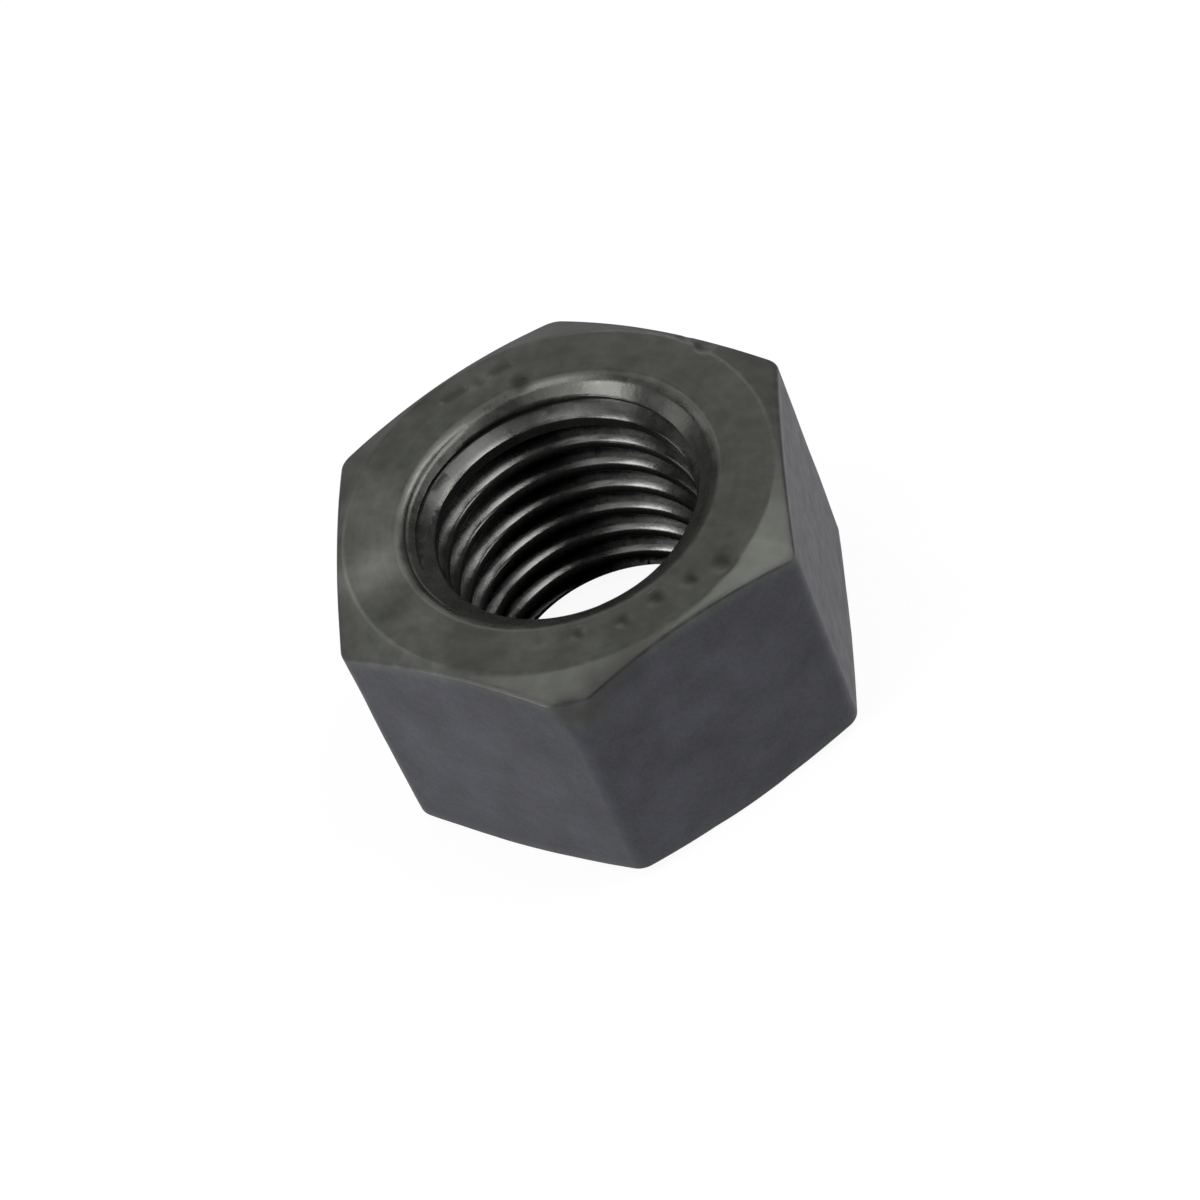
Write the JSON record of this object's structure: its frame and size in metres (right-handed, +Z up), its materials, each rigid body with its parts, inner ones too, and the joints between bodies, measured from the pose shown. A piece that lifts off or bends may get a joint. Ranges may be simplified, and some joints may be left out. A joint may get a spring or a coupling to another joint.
{
  "type": "hex nut",
  "caption": "High-pattern M30 x 3.5 hexagon nut in dark steel, chamfered at both ends, with a countersunk bore and a right-hand helical thread.",
  "frame": {"origin": "centre of the lower bearing face, on the thread's axis, so the nut stands on z = 0", "axes": "+Z up along the thread's axis, through the face with the wider countersink; +X out of the middle of one flat; +Y out through a corner"},
  "size_m": [0.046, 0.0526, 0.0286],
  "materials": {
    "dark_steel": "plain forged steel with a dark, lightly oiled oxide finish: machined end faces, faintly mottled flats, glossy thread"
  },
  "bodies": {
    "root": {"nut_body": "dark_steel"}
  },
  "joints": []
}
